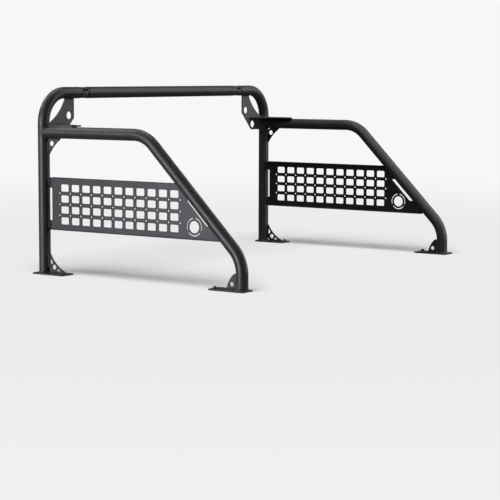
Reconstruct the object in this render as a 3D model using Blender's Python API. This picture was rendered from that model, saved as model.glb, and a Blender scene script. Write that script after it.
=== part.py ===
"""Headache rack for the cargo bed of a utility side-by-side: a tube hoop behind
the cab, two side tubes that run back, down at 45 degrees and onto the bed rails,
gusset plates at the corners, a slotted-grid side panel on each side, and four
bolted base plates.  Metres, +X to the vehicle's right, +Y forward (cab side), +Z up.
The underside of the base plates is z = 0."""
import bpy
import bmesh
import math
from mathutils import Vector
from mathutils.geometry import tessellate_polygon

MM = 0.001
GAP = 0.3 * MM                     # clearance kept between touching pieces

# ---- tube ---------------------------------------------------------------------
TUBE_R = 44.45 / 2 * MM            # 1-3/4 in round tube
TUBE_WALL = 2.4 * MM
TUBE_SEG = 20
HALF_W = 737.5 * MM                # centreline of each side frame from the middle
Y_HOOP = 452.5 * MM                # hoop plane, from the middle of the footprint
HOOP_Z = 678.0 * MM                # crossbar centreline height
HOOP_BEND = 114.3 * MM
SIDE_Z = 532.0 * MM                # side tube centreline height
SIDE_RUN = 482.5 * MM              # hoop to the corner of the first bend
LEG_RUN = 905.0 * MM               # hoop to the rear leg
LEG_Z = SIDE_Z - (LEG_RUN - SIDE_RUN)   # the diagonal is at 45 degrees
SIDE_BEND = 127.0 * MM

# ---- crossbar couplers ----------------------------------------------------------
COUPLER_X = {"left": -515.0 * MM, "right": 515.0 * MM}
COUPLER_LEN = 64.0 * MM            # over both collars
COLLAR = 11.0 * MM
SHANK_LEN = 22.0 * MM
SHANK_R = 19.3 * MM
TONGUE_R = 21.0 * MM
SCREW_PITCH = 15.0 * MM
SCREW_TILT = math.radians(28)      # screw heads look up and to the rear

# ---- plates ---------------------------------------------------------------------
GUSSET_T = 5.0 * MM
BASE_T = 5.0 * MM
BASE_W = 70.0 * MM
BASE_OUT = 6.5 * MM                # middle of the plate, outboard of the tube
BASE_L = 150.0 * MM
BASE_BACK = 30.0 * MM              # leg centreline to the near end of its plate
BASE_CORNER = 8.0 * MM
BOLT_SIDE = 21.0 * MM              # bolt centre from the outer long edge
BOLT_END = 18.0 * MM               # bolt centre from the far end of the plate

# ---- side panel -----------------------------------------------------------------
PANEL_T = 3.0 * MM
PANEL_IN = 3.0 * MM                # outer face of the web, inboard of the tube centreline
PANEL_LO = 166.0 * MM
PANEL_HI = 363.0 * MM
FLANGE = 25.0 * MM
GRID_COLS = 11
GRID_ROWS = 4
PITCH_Y = 51.0 * MM
PITCH_Z = 41.0 * MM
GRID_Y0 = -98.0 * MM               # first column, from the hoop plane
GRID_Z0 = 326.0 * MM               # top row
HOLE_Y = 37.0 * MM
HOLE_Z = 26.5 * MM
RING_Y = -696.0 * MM
RING_Z = 212.5 * MM


def clear():
    for o in list(bpy.data.objects):
        bpy.data.objects.remove(o, do_unlink=True)


def material(name, rgb, rough, metal):
    m = bpy.data.materials.new(name)
    m.use_nodes = True
    b = m.node_tree.nodes["Principled BSDF"]
    b.inputs["Base Color"].default_value = (*rgb, 1.0)
    b.inputs["Roughness"].default_value = rough
    b.inputs["Metallic"].default_value = metal
    m.diffuse_color = (*rgb, 1.0)
    return m


def add(name, bm, rgb, rough=0.55, metal=0.0, angle=35.0):
    bmesh.ops.recalc_face_normals(bm, faces=bm.faces[:])
    me = bpy.data.meshes.new(name)
    bm.to_mesh(me)
    bm.free()
    me.shade_smooth()
    me.set_sharp_from_angle(angle=math.radians(angle))
    ob = bpy.data.objects.new(name, me)
    bpy.context.scene.collection.objects.link(ob)
    me.materials.append(material(name + "_mat", rgb, rough, metal))
    return ob


# powder coat blacks, a little apart so that the pieces read separately
TUBE_C = (0.030, 0.030, 0.032)
PLATE_C = (0.026, 0.026, 0.028)
PANEL_C = (0.034, 0.034, 0.036)
FIX_C = (0.018, 0.018, 0.019)


# ---- tubes ----------------------------------------------------------------------
def filleted(corners, radius, spans):
    """Points and tangents along straight runs joined by arcs."""
    pts = [Vector(p) for p in corners]
    out = [(pts[0], (pts[1] - pts[0]).normalized())]
    for i in range(1, len(pts) - 1):
        b = pts[i]
        u = (pts[i - 1] - b).normalized()
        v = (pts[i + 1] - b).normalized()
        ang = u.angle(v)
        t = radius / math.tan(ang / 2)
        cen = b + (u + v).normalized() * (radius / math.sin(ang / 2))
        e0 = (b + u * t - cen) / radius
        e1 = (b + v * t - cen) / radius
        th = math.pi - ang
        for k in range(spans + 1):
            s = k / spans
            e = (e0 * math.sin((1 - s) * th) + e1 * math.sin(s * th)) / math.sin(th)
            tan = -u * (1 - s) + v * s
            tan = (tan - e * tan.dot(e)).normalized()
            out.append((cen + e * radius, tan))
    out.append((pts[-1], (pts[-1] - pts[-2]).normalized()))
    return out


def swept_tube(name, path, plane_normal, start_fit=None):
    """A hollow tube: outer and inner skins joined at both ends."""
    bm = bmesh.new()
    n = Vector(plane_normal).normalized()
    skins = []
    for r in (TUBE_R, TUBE_R - TUBE_WALL):
        rings = []
        for k, (p, t) in enumerate(path):
            m = t.cross(n).normalized()
            ring = []
            for j in range(TUBE_SEG):
                a = 2 * math.pi * (j + 0.5) / TUBE_SEG
                q = p + (n * math.cos(a) + m * math.sin(a)) * r
                if start_fit and k == 0:
                    q = start_fit(q)
                ring.append(bm.verts.new(q))
            rings.append(ring)
        skins.append(rings)
    for rings in skins:
        for a, b in zip(rings[:-1], rings[1:]):
            for j in range(TUBE_SEG):
                i = (j + 1) % TUBE_SEG
                bm.faces.new((a[j], a[i], b[i], b[j]))
    outer, inner = skins
    for a, b in ((outer[0], inner[0]), (outer[-1], inner[-1])):
        for j in range(TUBE_SEG):
            i = (j + 1) % TUBE_SEG
            bm.faces.new((a[j], a[i], b[i], b[j]))
    return add(name, bm, TUBE_C)


def cope_to_upright(side):
    """Cuts a side tube's front end to the round of the upright it is welded to."""
    x0 = side * HALF_W
    reach = TUBE_R + 0.8 * MM

    def fit(q):
        dx = q.x - x0
        return Vector((q.x, Y_HOOP - math.sqrt(max(reach ** 2 - dx ** 2, 0.0)) - 0.1 * MM, q.z))
    return fit


# ---- flat plates ----------------------------------------------------------------
def plate(name, loops, place, thick, rgb=PLATE_C, rough=0.55, metal=0.0):
    """loops = outline, then holes, as (u, v); place(u, v, w) gives the point."""
    bm = bmesh.new()
    tris = tessellate_polygon([[Vector((u, v, 0)) for u, v in lp] for lp in loops])
    flat = [p for lp in loops for p in lp]
    lo = [bm.verts.new(place(u, v, -thick / 2)) for u, v in flat]
    hi = [bm.verts.new(place(u, v, thick / 2)) for u, v in flat]
    for a, b, c in tris:
        bm.faces.new((lo[a], lo[b], lo[c]))
        bm.faces.new((hi[a], hi[b], hi[c]))
    base = 0
    for lp in loops:
        n = len(lp)
        for j in range(n):
            i = (j + 1) % n
            bm.faces.new((lo[base + j], lo[base + i], hi[base + i], hi[base + j]))
        base += n
    return add(name, bm, rgb, rough, metal)


def circle(cu, cv, r, n=12, turn=0.5):
    return [(cu + r * math.cos(2 * math.pi * (k + turn) / n),
             cv + r * math.sin(2 * math.pi * (k + turn) / n)) for k in range(n)]


def arc3(a, mid, b, n):
    """Points on the circle through three points, from a to b."""
    ax, ay = a
    bx, by = mid
    cx, cy = b
    d = 2 * (ax * (by - cy) + bx * (cy - ay) + cx * (ay - by))
    ux = ((ax * ax + ay * ay) * (by - cy) + (bx * bx + by * by) * (cy - ay) + (cx * cx + cy * cy) * (ay - by)) / d
    uy = ((ax * ax + ay * ay) * (cx - bx) + (bx * bx + by * by) * (ax - cx) + (cx * cx + cy * cy) * (bx - ax)) / d
    r = math.hypot(ax - ux, ay - uy)
    t0 = math.atan2(ay - uy, ax - ux)
    t1 = math.atan2(cy - uy, cx - ux)
    tm = math.atan2(by - uy, bx - ux)
    span = (t1 - t0) % (2 * math.pi)
    if (tm - t0) % (2 * math.pi) > span:
        span -= 2 * math.pi
    return [(ux + r * math.cos(t0 + span * k / n), uy + r * math.sin(t0 + span * k / n)) for k in range(n + 1)]


def rounded_rect(cu, cv, w, h, r, n=3):
    out = []
    for sx, sy, a0 in ((1, 1, 0), (-1, 1, 90), (-1, -1, 180), (1, -1, 270)):
        for k in range(n + 1):
            a = math.radians(a0 + 90 * k / n)
            out.append((cu + sx * (w / 2 - r) + r * math.cos(a), cv + sy * (h / 2 - r) + r * math.sin(a)))
    return out


def mm(pts):
    return [(u * MM, v * MM) for u, v in pts]


def in_hoop_plane(side):
    # u = distance out from the middle, v = height
    return lambda u, v, w: Vector((side * u, Y_HOOP + w, v))


def in_side_plane(side, x=HALF_W):
    # u = distance forward of the hoop plane, v = height
    return lambda u, v, w: Vector((side * (x + w), Y_HOOP + u, v))


def level(z):
    # u = x, v = y
    return lambda u, v, w: Vector((u, v, z + w))


def corner_gusset(side, tag):
    """Carries the crossbar corner, and drops past the shelf gusset to the upright."""
    top = HOOP_Z / MM - 22.7
    edge = HALF_W / MM - 22.6
    outline = [(565, top), (565, 582), (638, 506), (edge, 506), (edge, 561)]
    outline += arc3((edge - 1.5, 563), (651, 606), (616, top), 10)
    loops = [mm(outline), mm(circle(593.5, 592, 14.6, 16)), mm(circle(646, 530, 15.5, 16))]
    return plate(tag + "_corner_gusset", loops, in_hoop_plane(side), GUSSET_T)


def shelf_gusset(side, tag):
    """Level plate on top of the side tube that ties it to the hoop."""
    z = SIDE_Z + TUBE_R + 0.8 * MM + 2.5 * MM
    r = 22.6
    cx, cy = HALF_W / MM, 0.0
    notch = []
    a0, a1 = math.radians(188), math.radians(283)
    for k in range(9):
        a = a0 + (a1 - a0) * k / 8
        notch.append((cx + r * math.cos(a), cy + r * math.sin(a)))
    outline = [(620, -2.9), (711.6, -2.9)] + notch + [(744.5, -141), (739.5, -149), (713, -161), (704, -156)]
    outline += arc3((704, -156), (664, -78), (620, -9), 8)[1:]
    loops = [[(side * u, Y_HOOP / MM + v) for u, v in outline],
             [(side * u, Y_HOOP / MM + v) for u, v in circle(691, -31, 13, 14)]]
    return plate(tag + "_shelf_gusset", [mm(lp) for lp in loops], level(z), 5.0 * MM)


def upper_gusset(side, tag):
    """Small curved web under the side tube, behind the upright."""
    top = SIDE_Z / MM - 22.7
    outline = [(-34, top), (-22.7, top - 11), (-22.7, 451), (-24.5, 448)]
    outline += arc3((-27, 448), (-50.6, 480.3), (-80, top - 4), 8) + [(-81, top)]
    loops = [mm(outline), mm(circle(-39.5, 490.5, 10, 14))]
    return plate(tag + "_upper_gusset", loops, in_side_plane(side), GUSSET_T)


def front_foot_gusset(side, tag):
    """Open webbed gusset between the upright and its base plate."""
    bot = BASE_T / MM + 0.3
    outline = [(-22.7, 22), (-22.7, 77), (-27.5, 78)]
    outline += arc3((-30, 75), (-60, 35.5), (-100, 11), 10) + [(-102, bot), (-38, bot)]
    tri1 = [(-28.2, 33.5), (-28.2, 55.5), (-31.5, 58), (-39.5, 45.2), (-38.6, 42)]
    tri2 = [(-55.5, 11.6), (-62, 19.6), (-65, 20.6), (-81.5, 11.6)]
    loops = [mm(outline), mm(circle(-46.8, 26, 9.8, 16)), mm(tri1), mm(tri2)]
    return plate(tag + "_front_foot_gusset", loops, in_side_plane(side), GUSSET_T)


def rear_foot_gusset(side, tag):
    """Small gusset ahead of the rear leg."""
    y0 = -LEG_RUN / MM
    bot = BASE_T / MM + 0.3
    f = y0 + 22.7
    outline = [(f, 60), (f, 14.5), (f + 8.2, bot)]
    outline += [(y0 + 64, bot)] + arc3((y0 + 63.5, 9), (y0 + 51.5, 39), (y0 + 33, 60), 7)
    loops = [mm(outline), mm(circle(y0 + 43.5, 22.5, 8.2, 14))]
    return plate(tag + "_rear_foot_gusset", loops, in_side_plane(side), GUSSET_T)


def base_plate(side, tag, where):
    leg = Y_HOOP if where == "front" else Y_HOOP - LEG_RUN
    s = 1 if where == "front" else -1           # the plate reaches in towards the middle
    near, far = leg + s * BASE_BACK, leg + s * (BASE_BACK - BASE_L)
    bx = side * (HALF_W + BASE_OUT + BASE_W / 2 - BOLT_SIDE)
    by = far + s * BOLT_END
    loops = [rounded_rect(side * (HALF_W + BASE_OUT), (near + far) / 2, BASE_W, BASE_L, BASE_CORNER),
             circle(bx, by, 4.6 * MM, 14)]
    plate(f"{tag}_{where}_base_plate", loops, level(BASE_T / 2), BASE_T)
    washer_z = BASE_T + GAP
    plate(f"{tag}_{where}_washer", [circle(bx, by, 9.5 * MM, 20), circle(bx, by, 4.6 * MM, 14)],
          level(washer_z + 0.8 * MM), 1.6 * MM, FIX_C, 0.45, 0.3)
    head = washer_z + 1.6 * MM + GAP
    lathe(f"{tag}_{where}_bolt", Vector((bx, by, 0)), Vector((0, 0, 1)),
          [(0.4, 4.0, 14), (head / MM, 4.0, 14), (head / MM, 8.2, 14), (head / MM + 1.4, 8.2, 14),
           (head / MM + 1.6, 7.2, 14), (head / MM + 4.9, 7.2, 14), (head / MM + 6.2, 5.6, 14)])


def lathe(name, base, axis, rows, rgb=FIX_C):
    """Turned shape from (height, radius, sides) rows, in mm along an axis."""
    axis = axis.normalized()
    u = axis.orthogonal().normalized()
    v = axis.cross(u)
    bm = bmesh.new()
    rings = []
    for h, r, n in rows:
        rings.append([bm.verts.new(base + axis * h * MM + (u * math.cos(2 * math.pi * k / n)
                      + v * math.sin(2 * math.pi * k / n)) * r * MM) for k in range(n)])
    for a, b in zip(rings[:-1], rings[1:]):
        n = len(a)
        for j in range(n):
            i = (j + 1) % n
            bm.faces.new((a[j], a[i], b[i], b[j]))
    bm.faces.new(rings[0])
    bm.faces.new(rings[-1])
    return add(name, bm, rgb, 0.45, 0.3)


# ---- couplers -------------------------------------------------------------------
def prism(bm, base, axis, r, length, n=14):
    axis = axis.normalized()
    u = axis.orthogonal().normalized()
    v = axis.cross(u)
    rings = [[bm.verts.new(base + axis * h + (u * math.cos(2 * math.pi * k / n)
              + v * math.sin(2 * math.pi * k / n)) * r) for k in range(n)] for h in (0.0, length)]
    a, b = rings
    for j in range(n):
        i = (j + 1) % n
        bm.faces.new((a[j], a[i], b[i], b[j]))
    bm.faces.new(a)
    bm.faces.new(b)


def cut(ob, bm):
    """Takes the closed shapes in bm out of ob with an exact Boolean."""
    bmesh.ops.recalc_face_normals(bm, faces=bm.faces[:])
    me = bpy.data.meshes.new(ob.name + "_cutter")
    bm.to_mesh(me)
    bm.free()
    c = bpy.data.objects.new(f"{ob.name}_cut{len(ob.modifiers)}", me)
    bpy.context.scene.collection.objects.link(c)
    c.hide_render = True
    c.display_type = 'WIRE'
    m = ob.modifiers.new("cut", 'BOOLEAN')
    m.operation = 'DIFFERENCE'
    m.solver = 'EXACT'
    m.object = c


def coupler_half(tag, which, cx):
    """Collar, tongue and shank. The two tongues lap on a plane through the tube's
    centre; the screws pass square to that plane."""
    n = Vector((0, -math.cos(SCREW_TILT), math.sin(SCREW_TILT)))   # towards the screw heads
    t = Vector((1, 0, 0)).cross(n)
    c = Vector((cx, Y_HOOP, HOOP_Z))
    outward = 1 if tag == "right" else -1
    d = outward if which == "outer" else -outward                 # shank points this way
    keep = -1 if which == "outer" else 1                          # outer half lies under the screws
    half = COUPLER_LEN / 2
    x_shank = half + SHANK_LEN
    rows = [(x_shank, SHANK_R, False), (half, SHANK_R, False), (half, TUBE_R, False),
            (half - COLLAR, TUBE_R, False), (half - COLLAR, TONGUE_R, True), (-(half - COLLAR) + 0.6 * MM, TONGUE_R, True)]
    bm = bmesh.new()
    rings = []
    for x, r, lap in rows:
        ring = []
        for j in range(TUBE_SEG):
            a = 2 * math.pi * (j + 0.5) / TUBE_SEG
            pn, pt = r * math.cos(a), r * math.sin(a)
            if lap and pn * keep < GAP / 2:
                pn = keep * GAP / 2
            ring.append(bm.verts.new(c + Vector((d * x, 0, 0)) + n * pn + t * pt))
        rings.append(ring)
    for a, b in zip(rings[:-1], rings[1:]):
        for j in range(TUBE_SEG):
            i = (j + 1) % TUBE_SEG
            bm.faces.new((a[j], a[i], b[i], b[j]))
    bm.faces.new(rings[0])
    bm.faces.new(rings[-1])
    ob = add(f"{tag}_coupler_{which}", bm, (0.022, 0.022, 0.023), 0.5)
    holes = bmesh.new()
    for k in (-0.5, 0.5):
        p = c + Vector((k * SCREW_PITCH, 0, 0))
        if which == "inner":
            prism(holes, p - n * 5 * MM, n, 3.5 * MM, 30 * MM)
        else:
            prism(holes, p - n * 30 * MM, n, 3.5 * MM, 35 * MM)
    cut(ob, holes)
    if which == "inner":
        bores = bmesh.new()
        for k in (-0.5, 0.5):
            p = c + Vector((k * SCREW_PITCH, 0, 0))
            prism(bores, p + n * 10 * MM, n, 6.0 * MM, 15 * MM)
        cut(ob, bores)
    return ob


def coupler_screws(tag, cx):
    n = Vector((0, -math.cos(SCREW_TILT), math.sin(SCREW_TILT)))
    for k, word in ((-0.5, "a"), (0.5, "b")):
        p = Vector((cx + k * SCREW_PITCH, Y_HOOP, HOOP_Z))
        lathe(f"{tag}_coupler_screw_{word}", p, n,
              [(-18.5, 3.0, 12), (10.4, 3.0, 12), (10.4, 5.0, 12), (15.0, 5.0, 12), (15.6, 4.4, 12)])


# ---- side panel -----------------------------------------------------------------
def side_panel(side, tag):
    """Folded sheet: a web with the grid, and a return flange along the top and the
    bottom edge. It is welded by tabs at its corners; between them its ends stand
    clear of the upright and of the diagonal."""
    xo = HALF_W - PANEL_IN                       # outer face of the web
    t = PANEL_T
    f = FLANGE
    prof = []                                    # (x out, z), around the folded section

    def bend(cx, cz, r, a0, a1, n=3):
        for k in range(n + 1):
            a = math.radians(a0 + (a1 - a0) * k / n)
            prof.append((cx + r * math.cos(a), cz + r * math.sin(a)))
    ro, ri = 5.0 * MM, 2.0 * MM
    bend(xo - ro, PANEL_HI - ro, ro, 0, 90)
    prof += [(xo - f, PANEL_HI), (xo - f, PANEL_HI - t)]
    bend(xo - ro, PANEL_HI - ro, ri, 90, 0)
    bend(xo - ro, PANEL_LO + ro, ri, 0, -90)
    prof += [(xo - f, PANEL_LO + t), (xo - f, PANEL_LO)]
    bend(xo - ro, PANEL_LO + ro, ro, -90, 0)
    y0, y1 = Y_HOOP - 23.0 * MM, Y_HOOP - 850.0 * MM
    bm = bmesh.new()
    a = [bm.verts.new((side * x, y0, z)) for x, z in prof]
    b = [bm.verts.new((side * x, y1, z)) for x, z in prof]
    n = len(prof)
    for j in range(n):
        i = (j + 1) % n
        bm.faces.new((a[j], a[i], b[i], b[j]))
    bm.faces.new(a)
    bm.faces.new(b)
    ob = add(tag + "_side_panel", bm, PANEL_C, 0.6)

    def extrude_x(bm, loop, xa, xb):
        p = [bm.verts.new((side * xa, Y_HOOP + u, v)) for u, v in loop]
        q = [bm.verts.new((side * xb, Y_HOOP + u, v)) for u, v in loop]
        m = len(loop)
        for j in range(m):
            i = (j + 1) % m
            bm.faces.new((p[j], p[i], q[i], q[j]))
        bm.faces.new(p)
        bm.faces.new(q)

    # the end that meets the diagonal tube
    off = (TUBE_R + 0.4 * MM) * math.sqrt(2)
    # diagonal centreline: v = LEG_Z + (u + LEG_RUN); the cut runs parallel, off below it
    def diag(v, extra=0.0):
        return -(LEG_RUN - (v - LEG_Z)) + off + extra
    end = bmesh.new()
    lo, hi = PANEL_LO - 20 * MM, PANEL_HI + 20 * MM
    extrude_x(end, [(diag(lo), lo), (diag(hi), hi), (diag(hi) - 0.35, hi), (diag(lo) - 0.35, lo)],
              xo + 10 * MM, xo - f - 10 * MM)
    cut(ob, end)
    # the slot along the diagonal and the slot along the upright, then the grid
    w = 10.5 * MM * math.sqrt(2)
    slots = bmesh.new()
    v0, v1 = 218.0 * MM, 306.0 * MM
    extrude_x(slots, [(diag(v0) - 5 * MM, v0), (diag(v0) + w - 6 * MM, v0), (diag(v0 + 4 * MM) + w, v0 + 4 * MM),
                      (diag(v1 - 4 * MM) + w, v1 - 4 * MM), (diag(v1) + w - 6 * MM, v1), (diag(v1) - 5 * MM, v1)],
              xo + 4 * MM, xo - 8 * MM)
    extrude_x(slots, mm([(-10, 203), (-31, 203), (-36, 208), (-36, 320), (-31, 325), (-10, 325)]), xo + 4 * MM, xo - 8 * MM)
    for r in range(GRID_ROWS):
        for c in range(GRID_COLS):
            cu, cv = GRID_Y0 - c * PITCH_Y, GRID_Z0 - r * PITCH_Z
            extrude_x(slots, rounded_rect(cu, cv, HOLE_Y, HOLE_Z, 5 * MM, 1), xo + 4 * MM, xo - 8 * MM)
    # plain round port with three arc slots around it
    extrude_x(slots, circle(RING_Y, RING_Z, 21.5 * MM, 18), xo + 4 * MM, xo - 8 * MM)
    for k in range(3):
        a0, a1 = math.radians(90 + 120 * k + 9), math.radians(90 + 120 * (k + 1) - 9)
        m = 8
        ring = [(RING_Y + 33.0 * MM * math.cos(a0 + (a1 - a0) * j / m), RING_Z + 33.0 * MM * math.sin(a0 + (a1 - a0) * j / m)) for j in range(m + 1)]
        ring += [(RING_Y + 29.5 * MM * math.cos(a1 + (a0 - a1) * j / m), RING_Z + 29.5 * MM * math.sin(a1 + (a0 - a1) * j / m)) for j in range(m + 1)]
        extrude_x(slots, ring, xo + 4 * MM, xo - 8 * MM)
    cut(ob, slots)
    return ob


# ---- assembly -------------------------------------------------------------------
clear()
for side, tag in ((-1, "left"), (1, "right")):
    x = side * HALF_W
    cx = COUPLER_X[tag]
    stub = cx + side * (COUPLER_LEN / 2 + GAP)
    hoop = filleted([(x, Y_HOOP, BASE_T + GAP), (x, Y_HOOP, HOOP_Z), (stub, Y_HOOP, HOOP_Z)], HOOP_BEND, 8)
    swept_tube(tag + "_hoop_tube", hoop, (0, 1, 0))
    run = filleted([(x, Y_HOOP - 22 * MM, SIDE_Z), (x, Y_HOOP - SIDE_RUN, SIDE_Z),
                    (x, Y_HOOP - LEG_RUN, LEG_Z), (x, Y_HOOP - LEG_RUN, BASE_T + GAP)], SIDE_BEND, 5)
    swept_tube(tag + "_side_tube", run, (1, 0, 0), start_fit=cope_to_upright(side))
    coupler_half(tag, "outer", cx)
    coupler_half(tag, "inner", cx)
    coupler_screws(tag, cx)
    corner_gusset(side, tag)
    shelf_gusset(side, tag)
    upper_gusset(side, tag)
    front_foot_gusset(side, tag)
    rear_foot_gusset(side, tag)
    side_panel(side, tag)
    base_plate(side, tag, "front")
    base_plate(side, tag, "rear")
swept_tube("crossbar_tube", [(Vector((COUPLER_X["left"] + COUPLER_LEN / 2 + GAP, Y_HOOP, HOOP_Z)), Vector((1, 0, 0))),
                             (Vector((COUPLER_X["right"] - COUPLER_LEN / 2 - GAP, Y_HOOP, HOOP_Z)), Vector((1, 0, 0)))], (0, 1, 0))
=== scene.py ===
"""Looks for the headache rack: round bent tube, rounded plate edges, weld beads,
punched panels and textured black powder coat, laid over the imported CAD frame.
Metres, +X to the vehicle's right, +Y forward, +Z up."""
import math

import bpy
import bmesh
from mathutils import Matrix, Vector
from mathutils.geometry import delaunay_2d_cdt


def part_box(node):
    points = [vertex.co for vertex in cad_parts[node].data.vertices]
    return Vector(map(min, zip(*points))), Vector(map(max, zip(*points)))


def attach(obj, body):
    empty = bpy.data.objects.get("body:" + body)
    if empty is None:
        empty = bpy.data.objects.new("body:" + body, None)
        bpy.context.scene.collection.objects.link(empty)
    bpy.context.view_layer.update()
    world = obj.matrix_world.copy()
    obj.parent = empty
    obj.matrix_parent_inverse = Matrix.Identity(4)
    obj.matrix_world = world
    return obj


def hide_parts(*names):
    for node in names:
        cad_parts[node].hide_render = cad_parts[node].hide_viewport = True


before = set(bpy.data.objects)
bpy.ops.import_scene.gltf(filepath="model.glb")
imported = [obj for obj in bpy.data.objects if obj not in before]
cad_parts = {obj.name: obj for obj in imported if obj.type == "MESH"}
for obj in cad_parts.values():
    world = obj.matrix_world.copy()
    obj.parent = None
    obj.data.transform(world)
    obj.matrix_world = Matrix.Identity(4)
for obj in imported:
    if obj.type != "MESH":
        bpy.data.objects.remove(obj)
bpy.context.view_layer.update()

MM = 0.001
PI = math.pi


# ---- where things are -----------------------------------------------------------
def mid(node):
    lo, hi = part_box(node)
    return (lo + hi) / 2


X0 = abs(mid("right_rear_foot_gusset").x)          # side frames, from the middle
YH = mid("right_hoop_tube").y                      # hoop plane
ZB = mid("crossbar_tube").z                        # crossbar centreline
TOP_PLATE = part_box("right_rear_base_plate")[1].z   # top of the base plates
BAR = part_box("crossbar_tube")
R = 22.05 * MM                                     # tube
WALL = 2.4 * MM
HOOP_BEND = 114.3 * MM
ZS = 532.0 * MM                                    # side tube centreline
RUN = 482.5 * MM
LEG = 905.0 * MM
ZL = ZS - (LEG - RUN)
SIDE_BEND = 127.0 * MM
COUPLER_X = {"left": -515.0 * MM, "right": 515.0 * MM}
SIDES = ((-1, "left"), (1, "right"))


# ---- materials ------------------------------------------------------------------
def nodes_of(mat):
    mat.use_nodes = True
    nt = mat.node_tree
    nt.nodes.clear()
    return nt


def powder_coat(name, base, rough, grain=1.0, mottle=0.18, wear=0.35, lift=0.0):
    """Fine textured black powder coat: slow tone drift, a grain of about 1 mm, rubbed edges."""
    mat = bpy.data.materials.new(name)
    nt = nodes_of(mat)
    n, l = nt.nodes, nt.links
    out = n.new("ShaderNodeOutputMaterial")
    bsdf = n.new("ShaderNodeBsdfPrincipled")
    bsdf.inputs["Metallic"].default_value = 0.0
    bsdf.inputs["IOR"].default_value = 1.5
    bsdf.inputs["Specular IOR Level"].default_value = 0.5
    l.new(bsdf.outputs[0], out.inputs[0])
    tc = n.new("ShaderNodeTexCoord")

    def noise(scale, detail=2.0, rough_=0.5, dist=0.0):
        t = n.new("ShaderNodeTexNoise")
        t.inputs["Scale"].default_value = scale
        t.inputs["Detail"].default_value = detail
        t.inputs["Roughness"].default_value = rough_
        t.inputs["Distortion"].default_value = dist
        l.new(tc.outputs["Object"], t.inputs["Vector"])
        return t

    def ramp(src, a, b, lo=0.0, hi=1.0):
        m = n.new("ShaderNodeMapRange")
        m.inputs["From Min"].default_value = a
        m.inputs["From Max"].default_value = b
        m.inputs["To Min"].default_value = lo
        m.inputs["To Max"].default_value = hi
        l.new(src, m.inputs["Value"])
        return m.outputs["Result"]

    def math_(op, a, b):
        m = n.new("ShaderNodeMath")
        m.operation = op
        for k, s in enumerate((a, b)):
            if isinstance(s, (int, float)):
                m.inputs[k].default_value = s
            else:
                l.new(s, m.inputs[k])
        return m.outputs[0]

    def mix(fac, a, b):
        m = n.new("ShaderNodeMix")
        m.data_type = "RGBA"
        l.new(fac, m.inputs[0])
        for k, s in ((6, a), (7, b)):
            if isinstance(s, tuple):
                m.inputs[k].default_value = (*s, 1.0)
            else:
                l.new(s, m.inputs[k])
        return m.outputs[2]

    drift = noise(5.0, 3.0, 0.55)
    spots = noise(150.0, 3.0, 0.6)
    dark = tuple(c * (1 - mottle) for c in base)
    light = tuple(c * (1 + mottle) for c in base)
    slow = mix(ramp(drift.outputs[0], 0.32, 0.68), dark, light)
    fine = mix(ramp(spots.outputs[0], 0.35, 0.7), tuple(c * 0.86 for c in base), tuple(c * 1.22 for c in base))
    both = n.new("ShaderNodeMix")
    both.data_type = "RGBA"
    both.inputs[0].default_value = 0.5
    l.new(slow, both.inputs[6])
    l.new(fine, both.inputs[7])

    # rubbed edges: the mesh carries how exposed each edge is
    edge = n.new("ShaderNodeAttribute")
    edge.attribute_name = "edge"
    chip = noise(260.0, 4.0, 0.65, 0.4)
    broad = noise(22.0, 2.0)
    rub = math_("MULTIPLY", edge.outputs["Fac"], ramp(chip.outputs[0], 0.47, 0.66))
    rub = math_("MULTIPLY", rub, ramp(broad.outputs[0], 0.38, 0.62))
    rub = math_("MULTIPLY", rub, wear)
    # dry dust that settles on what looks up
    geo = n.new("ShaderNodeNewGeometry")
    sep = n.new("ShaderNodeSeparateXYZ")
    l.new(geo.outputs["Normal"], sep.inputs[0])
    up = ramp(sep.outputs["Z"], 0.25, 1.0)
    dust = math_("MULTIPLY", up, ramp(noise(34.0, 5.0, 0.65).outputs[0], 0.38, 0.75))
    dust = math_("MULTIPLY", dust, 0.10 + lift)
    dusty = mix(dust, both.outputs[2], (0.16, 0.155, 0.15))
    rubbed = mix(rub, dusty, (0.17, 0.17, 0.175))
    l.new(rubbed, bsdf.inputs["Base Color"])

    r0 = ramp(noise(60.0, 3.0, 0.6).outputs[0], 0.3, 0.7, rough - 0.035, rough + 0.045)
    r1 = math_("SUBTRACT", r0, math_("MULTIPLY", rub, 0.25))
    r2 = math_("ADD", r1, math_("MULTIPLY", dust, 1.2))
    l.new(r2, bsdf.inputs["Roughness"])

    # the coat's own texture, and a slower orange peel under it
    gr = n.new("ShaderNodeTexVoronoi")
    gr.feature = "SMOOTH_F1"
    gr.inputs["Scale"].default_value = 900.0
    gr.inputs["Smoothness"].default_value = 0.6
    l.new(tc.outputs["Object"], gr.inputs["Vector"])
    b1 = n.new("ShaderNodeBump")
    b1.inputs["Strength"].default_value = 0.55
    b1.inputs["Distance"].default_value = 0.00012 * grain
    l.new(gr.outputs["Distance"], b1.inputs["Height"])
    b2 = n.new("ShaderNodeBump")
    b2.inputs["Strength"].default_value = 0.5
    b2.inputs["Distance"].default_value = 0.00010 * grain
    l.new(noise(330.0, 2.5, 0.55).outputs[0], b2.inputs["Height"])
    l.new(b1.outputs[0], b2.inputs["Normal"])
    l.new(b2.outputs[0], bsdf.inputs["Normal"])
    return mat


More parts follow.
